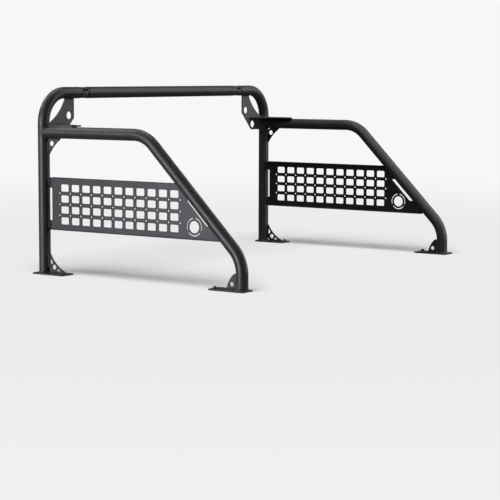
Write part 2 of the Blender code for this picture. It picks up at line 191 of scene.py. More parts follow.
def black_steel(name, base, rough):
    """Black oxide on turned and forged fasteners: a fine noise grain, bright rubbed corners."""
    mat = bpy.data.materials.new(name)
    nt = nodes_of(mat)
    n, l = nt.nodes, nt.links
    out = n.new("ShaderNodeOutputMaterial")
    bsdf = n.new("ShaderNodeBsdfPrincipled")
    bsdf.inputs["Metallic"].default_value = 0.55
    l.new(bsdf.outputs[0], out.inputs[0])
    tc = n.new("ShaderNodeTexCoord")
    a = n.new("ShaderNodeTexNoise")
    a.inputs["Scale"].default_value = 320.0
    a.inputs["Detail"].default_value = 4.0
    l.new(tc.outputs["Object"], a.inputs["Vector"])
    cr = n.new("ShaderNodeValToRGB")
    cr.color_ramp.elements[0].position = 0.3
    cr.color_ramp.elements[0].color = (*[c * 0.7 for c in base], 1)
    cr.color_ramp.elements[1].position = 0.72
    cr.color_ramp.elements[1].color = (*[c * 1.6 for c in base], 1)
    l.new(a.outputs[0], cr.inputs[0])
    edge = n.new("ShaderNodeAttribute")
    edge.attribute_name = "edge"
    m1 = n.new("ShaderNodeMath")
    m1.operation = "MULTIPLY"
    m1.inputs[1].default_value = 0.5
    l.new(edge.outputs["Fac"], m1.inputs[0])
    mx = n.new("ShaderNodeMix")
    mx.data_type = "RGBA"
    l.new(m1.outputs[0], mx.inputs[0])
    l.new(cr.outputs[0], mx.inputs[6])
    mx.inputs[7].default_value = (0.30, 0.30, 0.31, 1)
    l.new(mx.outputs[2], bsdf.inputs["Base Color"])
    mr = n.new("ShaderNodeMapRange")
    mr.inputs["To Min"].default_value = rough - 0.07
    mr.inputs["To Max"].default_value = rough + 0.1
    l.new(a.outputs[0], mr.inputs["Value"])
    l.new(mr.outputs[0], bsdf.inputs["Roughness"])
    b = n.new("ShaderNodeBump")
    b.inputs["Strength"].default_value = 0.4
    b.inputs["Distance"].default_value = 0.00008
    l.new(a.outputs[0], b.inputs["Height"])
    l.new(b.outputs[0], bsdf.inputs["Normal"])
    return mat


MAT = {
    "tube_coat": powder_coat("tube_powder_coat", (0.0290, 0.0281, 0.0345), 0.40),
    "plate_coat": powder_coat("plate_powder_coat", (0.0275, 0.0263, 0.0325), 0.44),
    "panel_coat": powder_coat("panel_powder_coat", (0.0298, 0.0279, 0.0386), 0.48, mottle=0.22),
    "weld_coat": powder_coat("weld_powder_coat", (0.0250, 0.0245, 0.0265), 0.42, wear=0.2),
    "fastener_black": black_steel("black_oxide_steel", (0.030, 0.030, 0.031), 0.36),
}


# ---- mesh building --------------------------------------------------------------
class Shape:
    """Collects points, faces, normals and edge exposure, then makes one object."""

    def __init__(self):
        self.v, self.f, self.n, self.e = [], [], [], []

    def pt(self, p, n=None, e=0.0):
        self.v.append(tuple(p))
        self.n.append(tuple(n) if n is not None else (0.0, 0.0, 0.0))
        self.e.append(e)
        return len(self.v) - 1

    def loft(self, a, b, closed=True, flip=False):
        m = len(a)
        for j in range(m if closed else m - 1):
            i = (j + 1) % m
            q = (a[j], a[i], b[i], b[j])
            self.f.append(q[::-1] if flip else q)

    def make(self, name, slot, sharp=None, replaces=(), mat=None, custom=False):
        me = bpy.data.meshes.new(name)
        me.from_pydata(self.v, [], self.f)
        att = me.attributes.new("edge", "FLOAT", "POINT")
        att.data.foreach_set("value", self.e)
        if not custom:
            bm = bmesh.new()
            bm.from_mesh(me)
            bmesh.ops.recalc_face_normals(bm, faces=bm.faces[:])
            bm.to_mesh(me)
            bm.free()
        me.shade_smooth()
        if custom:
            me.normals_split_custom_set_from_vertices(self.n)
        elif sharp is not None:
            me.set_sharp_from_angle(angle=math.radians(sharp))
        me.validate()
        return put(name, me, slot, replaces, mat)


def put(name, me, slot, replaces=(), mat=None):
    ob = bpy.data.objects.new(name, me)
    bpy.context.scene.collection.objects.link(ob)
    me.materials.clear()
    me.materials.append(MAT[mat or slot])
    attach(ob, "root")
    if replaces:
        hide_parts(*([replaces] if isinstance(replaces, str) else replaces))
    return ob


def filleted(corners, radius, spans):
    """Points and tangents along straight runs joined by arcs, with how far into a bend each is."""
    pts = [Vector(p) for p in corners]
    out = [(pts[0], (pts[1] - pts[0]).normalized(), 0.0)]
    for i in range(1, len(pts) - 1):
        b = pts[i]
        u = (pts[i - 1] - b).normalized()
        v = (pts[i + 1] - b).normalized()
        ang = u.angle(v)
        t = radius / math.tan(ang / 2)
        cen = b + (u + v).normalized() * (radius / math.sin(ang / 2))
        e0 = (b + u * t - cen) / radius
        e1 = (b + v * t - cen) / radius
        th = PI - ang
        for k in range(spans + 1):
            s = k / spans
            e = (e0 * math.sin((1 - s) * th) + e1 * math.sin(s * th)) / math.sin(th)
            tan = -u * (1 - s) + v * s
            tan = (tan - e * tan.dot(e)).normalized()
            out.append((cen + e * radius, tan, math.sin(PI * s) ** 0.5))
    out.append((pts[-1], (pts[-1] - pts[-2]).normalized(), 0.0))
    return out


def tube(name, path, normal, replaces, cope=None, seg=72):
    """Round tube with rounded lips. In its bends it is drawn a little oval, as bent tube is."""
    s = Shape()
    n = Vector(normal).normalized()
    lip = 0.5 * MM
    rings = []

    def ring(p, t, r, oval=0.0, e=0.0, fit=False):
        m = t.cross(n).normalized()
        ids = []
        for j in range(seg):
            a = 2 * PI * j / seg
            q = p + (n * math.cos(a) + m * math.sin(a) * (1 - 0.018 * oval)) * r
            if fit:
                q = cope(q)
            ids.append(s.pt(q, None, e))
        rings.append(ids)
    p0, t0, _ = path[0]
    p1, t1, _ = path[-1]
    f0 = bool(cope)
    ring(p0, t0, R - WALL, 0, 0, f0)
    ring(p0, t0, R - lip, 0, 0.8, f0)
    ring(p0 + t0 * lip, t0, R, 0, 0.8, f0)
    if f0:
        ring(p0 + t0 * 26 * MM, t0, R)
    for p, t, o in path[1:-1]:
        ring(p, t, R, o)
    ring(p1 - t1 * lip, t1, R, 0, 0.8)
    ring(p1, t1, R - lip, 0, 0.8)
    ring(p1, t1, R - WALL, 0, 0)
    for p, t, o in reversed(path[1:-1]):
        ring(p, t, R - WALL, o)
    if f0:
        ring(p0 + t0 * 26 * MM, t0, R - WALL)
    for a, b in zip(rings, rings[1:] + rings[:1]):
        s.loft(a, b)
    return s.make(name, "tube_coat", 38, replaces)


# ---- plates with rounded edges --------------------------------------------------
def area(lp):
    return sum(lp[i - 1][0] * lp[i][1] - lp[i][0] * lp[i - 1][1] for i in range(len(lp))) / 2


def turned(lp, ccw):
    return lp if (area(lp) > 0) == ccw else lp[::-1]


def corner_dirs(lp):
    """For each point of a loop, the mitred direction to its left, and its length factor."""
    out = []
    m = len(lp)
    for i in range(m):
        p0, p, p1 = lp[i - 1], lp[i], lp[(i + 1) % m]
        ax, ay = p[0] - p0[0], p[1] - p0[1]
        bx, by = p1[0] - p[0], p1[1] - p[1]
        la, lb = math.hypot(ax, ay), math.hypot(bx, by)
        nx, ny = -ay / la - by / lb, ax / la + bx / lb
        ln = math.hypot(nx, ny)
        nx, ny = nx / ln, ny / ln
        k = max(nx * -ay / la + ny * ax / la, 0.5)
        out.append((nx, ny, 1 / k))
    return out


def soften(lp, r, min_turn=24.0, n=5):
    """Rounds the corners of a loop that turn by more than min_turn degrees."""
    out = []
    m = len(lp)
    for i in range(m):
        p0, p, p1 = Vector(lp[i - 1]), Vector(lp[i]), Vector(lp[(i + 1) % m])
        a, b = (p0 - p), (p1 - p)
        la, lb = a.length, b.length
        a.normalize()
        b.normalize()
        turn = PI - a.angle(b)
        if turn < math.radians(min_turn):
            out.append(tuple(p))
            continue
        t = min(r * math.tan(turn / 2), 0.42 * la, 0.42 * lb)
        rr = t / math.tan(turn / 2)
        cen = p + (a + b).normalized() * (rr / math.cos(turn / 2))
        e0, e1 = (p + a * t - cen), (p + b * t - cen)
        for k in range(n + 1):
            s = k / n
            e = (e0 * math.sin((1 - s) * turn) + e1 * math.sin(s * turn)) / math.sin(turn)
            out.append(tuple(cen + e))
    return out


def inside(p, lp):
    c = False
    x, y = p
    j = len(lp) - 1
    for i in range(len(lp)):
        xi, yi = lp[i]
        xj, yj = lp[j]
        if (yi > y) != (yj > y) and x < (xj - xi) * (y - yi) / (yj - yi) + xi:
            c = not c
        j = i
    return c


def fill(loops, lines):
    """Triangles of an outline less its holes, over the loops' own points."""
    pts, edges, start = [], [], []
    for lp in loops:
        b = len(pts)
        start.append(b)
        pts += [Vector(p) for p in lp]
        edges += [(b + i, b + (i + 1) % len(lp)) for i in range(len(lp))]
    edges += lines
    co, _, faces, ov, _, _ = delaunay_2d_cdt(pts, edges, [], 0, 1e-9)
    back = {}
    for i, origin in enumerate(ov):
        if origin:
            back[i] = origin[0]
    tris = []
    boxes = [(min(p[0] for p in lp), max(p[0] for p in lp), min(p[1] for p in lp), max(p[1] for p in lp)) for lp in loops]
    for f in faces:
        if len(f) != 3 or any(i not in back for i in f):
            continue
        c = ((co[f[0]][0] + co[f[1]][0] + co[f[2]][0]) / 3, (co[f[0]][1] + co[f[1]][1] + co[f[2]][1]) / 3)
        if not inside(c, loops[0]):
            continue
        hit = False
        for lp, (x0, x1, y0, y1) in zip(loops[1:], boxes[1:]):
            if x0 <= c[0] <= x1 and y0 <= c[1] <= y1 and inside(c, lp):
                hit = True
                break
        if not hit:
            t = [back[i] for i in f]
            a, b, d = (Vector(pts[k]) for k in t)
            if (b - a).cross(d - a) < 0:
                t.reverse()
            tris.append(t)
    return tris


def plate(name, loops, place, thick, slot, replaces=(), edge=0.8 * MM, steps=4, lines=None, wear=1.0, mat=None):
    """A sheet or plate with every edge rounded. loops = outline, then holes, as (u, v);
    place(u, v, w) gives the point at w from the middle of the thickness. Its normals are
    set from the shape, so flat stays flat."""
    loops = [turned([tuple(p) for p in lp], k == 0) for k, lp in enumerate(loops)]
    dirs = [corner_dirs(lp) for lp in loops]
    s = Shape()
    h = 1e-5

    def basis(u, v):
        p = place(u, v, 0)
        tu = (place(u + h, v, 0) - place(u - h, v, 0)).normalized()
        tv = (place(u, v + h, 0) - place(u, v - h, 0)).normalized()
        tw = (place(u, v, h) - p).normalized()
        return tu, tv, tw
    tu, tv, tw = basis(*loops[0][0])
    mirrored = tu.cross(tv).dot(tw) < 0
    bands = []
    for side in (1, -1):
        for k in range(steps + 1):
            a = (PI / 2) * k / steps
            d, w = edge * (1 - math.sin(a)), thick / 2 - edge * (1 - math.cos(a))
            bands.append((side, a, d, w))
    rows = []                                      # rows[band][loop][point]
    shifted = None
    for side, a, d, w in bands:
        row = []
        flat = []
        for lp, dd in zip(loops, dirs):
            ids, moved = [], []
            for (u, v), (nx, ny, k) in zip(lp, dd):
                uu, vv = u + nx * d * k, v + ny * d * k
                tu, tv, tw = basis(uu, vv)
                out = -(tu * nx + tv * ny)
                nn = (tw * side * math.cos(a) + out * math.sin(a)).normalized()
                e = wear * math.sin(a) if a < PI / 4 + 0.01 else wear * max(0.0, math.cos(a)) * 1.2
                ids.append(s.pt(place(uu, vv, side * w), nn, min(1.0, e)))
                moved.append((uu, vv))
            row.append(ids)
            flat.append(moved)
        rows.append(row)
        if shifted is None:
            shifted = flat
    m = steps + 1
    tris = fill(shifted, lines or [])
    top = [i for ids in rows[0] for i in ids]
    low = [i for ids in rows[m] for i in ids]
    for t in tris:
        up = [top[i] for i in t]
        dn = [low[i] for i in t][::-1]
        s.f.append(tuple(up[::-1] if mirrored else up))
        s.f.append(tuple(dn[::-1] if mirrored else dn))
    order = list(range(m)) + list(range(2 * m - 1, m - 1, -1))
    for a, b in zip(order[:-1], order[1:]):
        for la, lb in zip(rows[a], rows[b]):
            s.loft(la, lb, flip=not mirrored)
    return s.make(name, slot, None, replaces, mat, custom=True)


def circle(cu, cv, r, n=36):
    return [(cu + r * math.cos(2 * PI * k / n), cv + r * math.sin(2 * PI * k / n)) for k in range(n)]


def arc3(a, mid_, b, n):
    ax, ay = a
    bx, by = mid_
    cx, cy = b
    d = 2 * (ax * (by - cy) + bx * (cy - ay) + cx * (ay - by))
    ux = ((ax * ax + ay * ay) * (by - cy) + (bx * bx + by * by) * (cy - ay) + (cx * cx + cy * cy) * (ay - by)) / d
    uy = ((ax * ax + ay * ay) * (cx - bx) + (bx * bx + by * by) * (ax - cx) + (cx * cx + cy * cy) * (bx - ax)) / d
    r = math.hypot(ax - ux, ay - uy)
    t0 = math.atan2(ay - uy, ax - ux)
    t1 = math.atan2(cy - uy, cx - ux)
    tm = math.atan2(by - uy, bx - ux)
    span = (t1 - t0) % (2 * PI)
    if (tm - t0) % (2 * PI) > span:
        span -= 2 * PI
    return [(ux + r * math.cos(t0 + span * k / n), uy + r * math.sin(t0 + span * k / n)) for k in range(n + 1)]


def rounded_rect(cu, cv, w, h, r, n=6):
    out = []
    for sx, sy, a0 in ((1, 1, 0), (-1, 1, 90), (-1, -1, 180), (1, -1, 270)):
        for k in range(n + 1):
            a = math.radians(a0 + 90 * k / n)
            out.append((cu + sx * (w / 2 - r) + r * math.cos(a), cv + sy * (h / 2 - r) + r * math.sin(a)))
    return out


def mm(pts):
    return [(u * MM, v * MM) for u, v in pts]


def in_hoop_plane(side):
    return lambda u, v, w: Vector((side * u, YH + w, v))


def in_side_plane(side):
    return lambda u, v, w: Vector((side * (X0 + w), YH + u, v))


def level(z):
    return lambda u, v, w: Vector((u, v, z + w))


# ---- turned parts ---------------------------------------------------------------
def hexr(a, flat, turn=0.0):
    k = (a + turn + PI / 6) % (PI / 3) - PI / 6
    return flat / 2 / math.cos(k)


def turned_part(name, base, axis, rows, slot, replaces, turn=0.0, seg=96, sharp=32, mat=None, mesh_only=False):
    """rows = (height mm, radius mm or function of angle, edge exposure), outside then back
    down any socket; both ends are closed."""
    axis = Vector(axis).normalized()
    u = axis.orthogonal().normalized()
    v = axis.cross(u)
    s = Shape()
    prev = None
    for row in rows:
        h, r, e = row
        ids = []
        for k in range(seg):
            a = 2 * PI * k / seg
            rr = (r(a) if callable(r) else r) * MM
            ids.append(s.pt(base + axis * h * MM + (u * math.cos(a) + v * math.sin(a)) * rr, None, e))
        if prev:
            s.loft(prev, ids)
        else:
            first = ids
        prev = ids
    for ids, h in ((first, rows[0][0]), (prev, rows[-1][0])):
        c = s.pt(base + axis * h * MM)
        for k in range(seg):
            s.f.append((ids[k], ids[(k + 1) % seg], c))
    return s.make(name, slot, sharp, replaces, mat)


# ---- weld beads -----------------------------------------------------------------
def bead(s, path, leg, seed=0.0, pitch=3.1 * MM, closed=False, round_=0.16):
    """Adds one fillet bead to a Shape. path = (point, normal of face 1, normal of face 2);
    its surface has the overlapping crescents of a hand-run weld."""
    pts = [Vector(p[0]) for p in path]
    m = len(pts)
    total = [0.0]
    for a, b in zip(pts[:-1], pts[1:]):
        total.append(total[-1] + (b - a).length)
    length = total[-1] + ((pts[0] - pts[-1]).length if closed else 0.0)
    if length < 2 * MM:
        return
    count = max(8, int(length / (pitch / 5)))
    if closed:
        count = max(5, round(length / pitch)) * 5

    def at(d):
        if closed:
            d = d % length
        for i in range(m if closed else m - 1):
            a = total[i]
            b = total[i + 1] if i + 1 < m else length
            if d <= b or i == (m - 1 if closed else m - 2):
                t = (d - a) / max(b - a, 1e-9)
                j = (i + 1) % m
                p = pts[i].lerp(pts[j], t)
                n1 = Vector(path[i][1]).lerp(Vector(path[j][1]), t).normalized()
                n2 = Vector(path[i][2]).lerp(Vector(path[j][2]), t).normalized()
                return p, n1, n2, (pts[j] - pts[i]).normalized()
    rings = []
    rows = 7
    last1 = last2 = None
    span = count if closed else count + 1
    for q in range(span):
        d = length * q / count
        p, n1, n2, tan = at(d)
        d1, d2 = tan.cross(n1).normalized(), tan.cross(n2).normalized()
        if last1 is None:
            if d1.dot(n2) < 0:
                d1 = -d1
            if d2.dot(n1) < 0:
                d2 = -d2
            if n1.dot(n2) > 0.9 and d1.dot(d2) > 0:
                d2 = -d2
        else:
            if d1.dot(last1) < 0:
                d1 = -d1
            if d2.dot(last2) < 0:
                d2 = -d2
        last1, last2 = d1, d2
        ph = d / pitch if not closed else d / length * round(length / pitch)
        saw = ph - math.floor(ph)
        ripple = 1.0 + 0.10 * (math.sin(PI * saw) ** 0.6 - 0.55)
        wander = 1.0 + 0.06 * math.sin(d / (11 * MM) + seed * 3.1) + 0.04 * math.sin(d / (4.3 * MM) + seed * 7.7)
        if closed:
            wander = 1.0 + 0.06 * math.sin(2 * PI * 3 * d / length + seed) + 0.04 * math.sin(2 * PI * 8 * d / length + seed * 2)
        end = 1.0
        if not closed:
            x = min(d, length - d) / (leg * 0.75)
            end = math.sqrt(max(0.0, 1 - (1 - min(x, 1.0)) ** 2))
            end = max(end, 0.12)
        g = leg * ripple * wander * end
        nb = (n1 + n2).normalized()
        convex = g * (round_ + 0.16 * max(0.0, n1.dot(n2)))
        ids = [s.pt(p - nb * 0.9 * MM * end, None, 0)]
        for k in range(rows):
            t = k / (rows - 1)
            c = p + (d1 * (1 - t) + d2 * t) * g + nb * convex * math.sin(PI * t)
            if n1.dot(n2) < 0.9:
                c += -nb * 0.25 * MM * (abs(2 * t - 1) ** 3)
            if 0 < q < span - 1 or closed:
                c += tan * (0.55 * pitch) * (1 - (2 * t - 1) ** 2) * end
            ids.append(s.pt(c, None, 0.25 * math.sin(PI * t) * (0.4 + 0.6 * math.sin(PI * saw))))
        rings.append(ids)
    for a, b in zip(rings[:-1], rings[1:]):
        s.loft(a, b)
    if closed:
        s.loft(rings[-1], rings[0])
    else:
        s.f.append(tuple(rings[0]))
        s.f.append(tuple(rings[-1][::-1]))


def weld(name, beads):
    s = Shape()
    for k, (path, leg, closed) in enumerate(beads):
        bead(s, path, leg, seed=k * 1.7 + len(name) * 0.31, closed=closed)
    return s.make(name, "plate_coat", 60, mat="weld_coat")


def straight(a, b, n1, n2, n=6):
    a, b = Vector(a), Vector(b)
    return [(a.lerp(b, k / n), Vector(n1), Vector(n2)) for k in range(n + 1)]


# ---- tubes ----------------------------------------------------------------------
def cope_to_upright(side):
    x0 = side * X0
    reach = R + 0.6 * MM

    def fit(q):
        dx = q.x - x0
        y = YH - math.sqrt(max(reach ** 2 - dx ** 2, 0.0)) - 0.1 * MM
        return Vector((q.x, min(y, q.y) if q.y < YH - R - 3 * MM else y, q.z))
    return fit


FOOT = TOP_PLATE + 0.3 * MM
C_HALF = 32.0 * MM                                 # half length of a coupler
COLLAR = 11.0 * MM


def tubes():
    for side, tag in SIDES:
        x = side * X0
        stub = COUPLER_X[tag] + side * (C_HALF + 0.3 * MM)
        tube(tag + "_hoop_tube_v", filleted([(x, YH, FOOT), (x, YH, ZB), (stub, YH, ZB)], HOOP_BEND, 30),
             (0, 1, 0), tag + "_hoop_tube")
        tube(tag + "_side_tube_v",
             filleted([(x, YH - 22 * MM, ZS), (x, YH - RUN, ZS), (x, YH - LEG, ZL), (x, YH - LEG, FOOT)], SIDE_BEND, 20),
             (1, 0, 0), tag + "_side_tube", cope=cope_to_upright(side))
    a, b = BAR[0].x, BAR[1].x
    tube("crossbar_tube_v", [(Vector((a, YH, ZB)), Vector((1, 0, 0)), 0), (Vector(((a + b) / 2, YH, ZB)), Vector((1, 0, 0)), 0),
                             (Vector((b, YH, ZB)), Vector((1, 0, 0)), 0)], (0, 1, 0), "crossbar_tube")


# ---- plates ---------------------------------------------------------------------
TOP = ZB / MM - 22.5
EDGE = X0 / MM - 22.4
GT = 5.0 * MM


def gussets(side, tag):
    out = [(565, TOP), (565, 582), (638, 506), (EDGE, 506), (EDGE, 561)]
    out += arc3((EDGE - 1.5, 563), (651, 606), (616, TOP), 30)
    plate(tag + "_corner_gusset_v", [soften(mm(out), 2.5 * MM), circle(593.5 * MM, 592 * MM, 14.6 * MM, 48),
                                     circle(646 * MM, 530 * MM, 15.5 * MM, 48)],
          in_hoop_plane(side), GT, "plate_coat", tag + "_corner_gusset")

    r = 22.6
    cx = X0 / MM
    notch = []
    a0, a1 = math.radians(188), math.radians(283)
    for k in range(25):
        a = a0 + (a1 - a0) * k / 24
        notch.append((cx + r * math.cos(a), r * math.sin(a)))
    out = [(620, -2.9), (711.6, -2.9)] + notch + [(744.5, -141), (739.5, -149), (713, -161), (704, -156)]
    out += arc3((704, -156), (664, -78), (620, -9), 28)[1:]
    z = ZS + 22.225 * MM + 3.3 * MM
    plate(tag + "_shelf_gusset_v", [soften(mm(out), 1.5 * MM, 30), circle(691 * MM, -31 * MM, 13 * MM, 44)],
          lambda u, v, w: Vector((side * u, YH + v, z + w)), 5.0 * MM, "plate_coat", tag + "_shelf_gusset")

    top = ZS / MM - 22.5
    out = [(-34, top), (-22.5, top - 11), (-22.5, 451), (-24.5, 448)]
    out += arc3((-27, 448), (-50.6, 480.3), (-80, top - 4), 24) + [(-81, top)]
    plate(tag + "_upper_gusset_v", [soften(mm(out), 1.2 * MM), circle(-39.5 * MM, 490.5 * MM, 10 * MM, 36)],
          in_side_plane(side), GT, "plate_coat", tag + "_upper_gusset")

    bot = TOP_PLATE / MM + 0.2
    out = [(-22.5, 22), (-22.5, 77), (-27.5, 78)]
    out += arc3((-30, 75), (-60, 35.5), (-100, 11), 30) + [(-102, bot), (-38, bot)]
    tri1 = [(-28.2, 33.5), (-28.2, 55.5), (-31.5, 58), (-39.5, 45.2), (-38.6, 42)]
    tri2 = [(-55.5, 11.6), (-62, 19.6), (-65, 20.6), (-81.5, 11.6)]
    plate(tag + "_front_foot_gusset_v",
          [soften(mm(out), 1.0 * MM), circle(-46.8 * MM, 26 * MM, 9.8 * MM, 36), soften(mm(tri1), 2.0 * MM), soften(mm(tri2), 2.0 * MM)],
          in_side_plane(side), GT, "plate_coat", tag + "_front_foot_gusset")

    y0 = -LEG / MM
    f = y0 + 22.5
    out = [(f, 60), (f, 14.5), (f + 8.2, bot), (y0 + 64, bot)]
    out += arc3((y0 + 63.5, 9), (y0 + 51.5, 39), (y0 + 33, 60), 20)
    plate(tag + "_rear_foot_gusset_v", [soften(mm(out), 1.2 * MM), circle((y0 + 43.5) * MM, 22.5 * MM, 8.2 * MM, 32)],
          in_side_plane(side), GT, "plate_coat", tag + "_rear_foot_gusset")


def feet(side, tag):
    for where in ("front", "rear"):
        lo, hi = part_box(f"{tag}_{where}_base_plate")
        c = (lo + hi) / 2
        b = mid(f"{tag}_{where}_bolt")
        hole = circle(b.x, b.y, 4.6 * MM, 32)
        plate(f"{tag}_{where}_base_plate_v", [rounded_rect(c.x, c.y, hi.x - lo.x, hi.y - lo.y, 8 * MM, 8), hole],
              level((lo.z + hi.z) / 2), hi.z - lo.z, "plate_coat", f"{tag}_{where}_base_plate", edge=0.9 * MM)
        wl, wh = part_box(f"{tag}_{where}_washer")
        plate(f"{tag}_{where}_washer_v", [circle(b.x, b.y, 9.4 * MM, 64), hole],
              level((wl.z + wh.z) / 2), wh.z - wl.z, "fastener_black", f"{tag}_{where}_washer", edge=0.35 * MM, steps=3, wear=0.6)
        head = wh.z / MM + 0.3
        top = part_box(f"{tag}_{where}_bolt")[1].z / MM
        turn = {"leftfront": 0.2, "leftrear": 0.75, "rightfront": 0.45, "rightrear": 0.05}[tag + where]
        hx = lambda a: hexr(a, 12.3, turn)
        rows = [(0.4, 3.9, 0), (head, 3.9, 0), (head, 7.9, 0.1), (head + 0.3, 8.15, 0.7), (head + 1.0, 8.0, 0.3),
                (head + 1.9, 7.1, 0)]
        rows += [(head + 2.0, hx, 0.1), (head + 2.9, hx, 0.25), (top - 2.3, hx, 0.45)]
        for k in range(1, 6):
            z = top - 2.3 + 2.0 * k / 5
            rows.append((z, (lambda cap: lambda a: min(hexr(a, 12.3, turn), cap))(7.25 - 1.55 * (k / 5) ** 1.3), 0.7))
        rows += [(top - 0.05, 5.1, 0.4), (top - 0.15, 4.3, 0.1), (top - 0.75, 3.6, 0), (top - 0.85, 1.5, 0)]
        turned_part(f"{tag}_{where}_bolt_v", Vector((b.x, b.y, 0)), (0, 0, 1), rows, "fastener_black", f"{tag}_{where}_bolt")


# ---- side panels ----------------------------------------------------------------
LO, HI = 166.0, 363.0
BR, BM = 5.0, 3.5                                  # fold: outside and middle radius
ARC = BM * PI / 2
FLAT = 20.0
OFF = 22.625 * math.sqrt(2)


def fold(side):
    """(u forward of the hoop plane, s along the folded section from the foot of the web)."""
    xo = X0 / MM - 3.0
    web = HI - LO - 2 * BR

    def place(u, s, w):
        u, s, w = u / MM, s / MM, w / MM
        if s < 0:
            a = min(-s, ARC) / BM
            c = (xo - BR, LO + BR)
            n = (math.cos(a), -math.sin(a))
            x, z = c[0] + (BM + w) * n[0], c[1] + (BM + w) * n[1]
            if -s > ARC:
                x -= (-s - ARC)
        elif s > web:
            a = min(s - web, ARC) / BM
            c = (xo - BR, HI - BR)
            n = (math.cos(a), math.sin(a))
            x, z = c[0] + (BM + w) * n[0], c[1] + (BM + w) * n[1]
            if s - web > ARC:
                x -= (s - web - ARC)
        else:
            x, z = xo - 1.5 + w, LO + BR + s
        return Vector((side * x * MM, YH + u * MM, z * MM))
    return place


def mid_z(s):
    web = HI - LO - 2 * BR
    if s < 0:
        return LO + BR - BM * math.sin(min(-s, ARC) / BM)
    if s > web:
        return HI - BR + BM * math.sin(min(s - web, ARC) / BM)
    return LO + BR + s


def side_panel(side, tag):
    web = HI - LO - 2 * BR
    folds = [-ARC - 0.05] + [-ARC * k / 5 for k in range(5, 0, -1)] + [0.0]
    folds += [web] + [web + ARC * k / 5 for k in range(1, 6)] + [web + ARC + 0.05]
    lips = (-ARC - FLAT, web + ARC + FLAT)
    rear = lambda z: z - ZL / MM - LEG / MM + OFF
    s_of = lambda z: z - LO - BR

    def notch_front():
        a = [(-23, s_of(203)), (-36, s_of(203)), (-36, s_of(325)), (-23, s_of(325))]
        p = soften(a + [(10, s_of(325)), (10, s_of(203))], 4.5, n=6)
        return [q for q in p if q[0] < 5]
    front = [(-23, lips[0])] + [(-23, f) for f in folds[:7]]
    front += notch_front()
    front += [(-23, f) for f in folds[7:]] + [(-23, lips[1])]
    w = 10.5 * math.sqrt(2)
    v0, v1 = 218.0, 306.0
    raw = [(rear(v1) - 30, s_of(v1)), (rear(v1), s_of(v1)), (rear(v1) + w - 2, s_of(v1)), (rear(v0) + w, s_of(v0)),
           (rear(v0), s_of(v0)), (rear(v0) - 30, s_of(v0))]
    raw = [(rear(v1), s_of(v1)), (rear(v1 - 1) + w, s_of(v1)), (rear(v0) + w, s_of(v0)), (rear(v0), s_of(v0))]
    rn = soften([(rear(v1) - 40, s_of(v1))] + raw + [(rear(v0) - 40, s_of(v0))], 4.0, n=6)
    rn = [q for q in rn if q[0] > rear(v1) - 39 or (s_of(v0) - 1 < q[1] < s_of(v1) - 1)]
    rn = [q for q in rn if q[0] > rear(LO + BR + q[1]) - 0.5]
    back = [(rear(mid_z(lips[1])), lips[1])] + [(rear(mid_z(f)), f) for f in reversed(folds[7:])]
    back += rn
    back += [(rear(mid_z(f)), f) for f in reversed(folds[:7])] + [(rear(mid_z(lips[0])), lips[0])]
    outline = front + back
    idx_front = [1 + k for k in range(7)] + [1 + 7 + len(notch_front()) + k for k in range(7)]
    nb = len(front)
    idx_back = [nb + 1 + k for k in range(7)][::-1]
    idx_back2 = [nb + 1 + 7 + len(rn) + k for k in range(7)][::-1]
    pairs = list(zip(idx_front[:7], idx_back2)) + list(zip(idx_front[7:], idx_back))
    # the outline is not softened, so the fold points stay where they are
    loops = [outline]
    holes = []
    for r in range(4):
        for c in range(11):
            holes.append(rounded_rect(-98 - 51 * c, s_of(326 - 41 * r), 37, 26.5, 4.8, 5))
    for r in range(3):
        for c in range(12):
            holes.append(circle(-72.5 - 51 * c, s_of(305.5 - 41 * r), 3.3, 18))
    cu, cv = -696.0, s_of(212.5)
    holes.append(circle(cu, cv, 21.5, 56))
    for k in range(3):
        a0, a1 = math.radians(90 + 120 * k + 12), math.radians(90 + 120 * (k + 1) - 12)
        ro, ri = 33.0, 29.5
        rm, rh = (ro + ri) / 2, (ro - ri) / 2
        lp = [(cu + ro * math.cos(a0 + (a1 - a0) * j / 26), cv + ro * math.sin(a0 + (a1 - a0) * j / 26)) for j in range(27)]
        e = (cu + rm * math.cos(a1), cv + rm * math.sin(a1))
        lp += [(e[0] + rh * math.cos(a1 + PI * j / 7), e[1] + rh * math.sin(a1 + PI * j / 7)) for j in range(1, 7)]
        lp += [(cu + ri * math.cos(a1 + (a0 - a1) * j / 26), cv + ri * math.sin(a1 + (a0 - a1) * j / 26)) for j in range(27)]
        e = (cu + rm * math.cos(a0), cv + rm * math.sin(a0))
        lp += [(e[0] + rh * math.cos(a0 + PI + PI * j / 7), e[1] + rh * math.sin(a0 + PI + PI * j / 7)) for j in range(1, 7)]
        holes.append(lp)
    loops += holes
    return plate(tag + "_side_panel_v", [mm(lp) for lp in loops], fold(side), 3.0 * MM, "panel_coat",
                 tag + "_side_panel", edge=0.55 * MM, steps=3, lines=pairs)


# ---- couplers -------------------------------------------------------------------
TILT = math.radians(28)


def applied(ob, cutter):
    """ob's mesh less a closed cutter shape, applied."""
    bm = bmesh.new()
    bm.from_mesh(cutter)
    bmesh.ops.recalc_face_normals(bm, faces=bm.faces[:])
    bm.to_mesh(cutter)
    bm.free()
    c = bpy.data.objects.new("cutter", cutter)
    bpy.context.scene.collection.objects.link(c)
    m = ob.modifiers.new("cut", "BOOLEAN")
    m.operation = "DIFFERENCE"
    m.solver = "EXACT"
    m.object = c
    dg = bpy.context.evaluated_depsgraph_get()
    me = bpy.data.meshes.new_from_object(ob.evaluated_get(dg))
    ob.modifiers.clear()
    bpy.data.objects.remove(c)
    return me


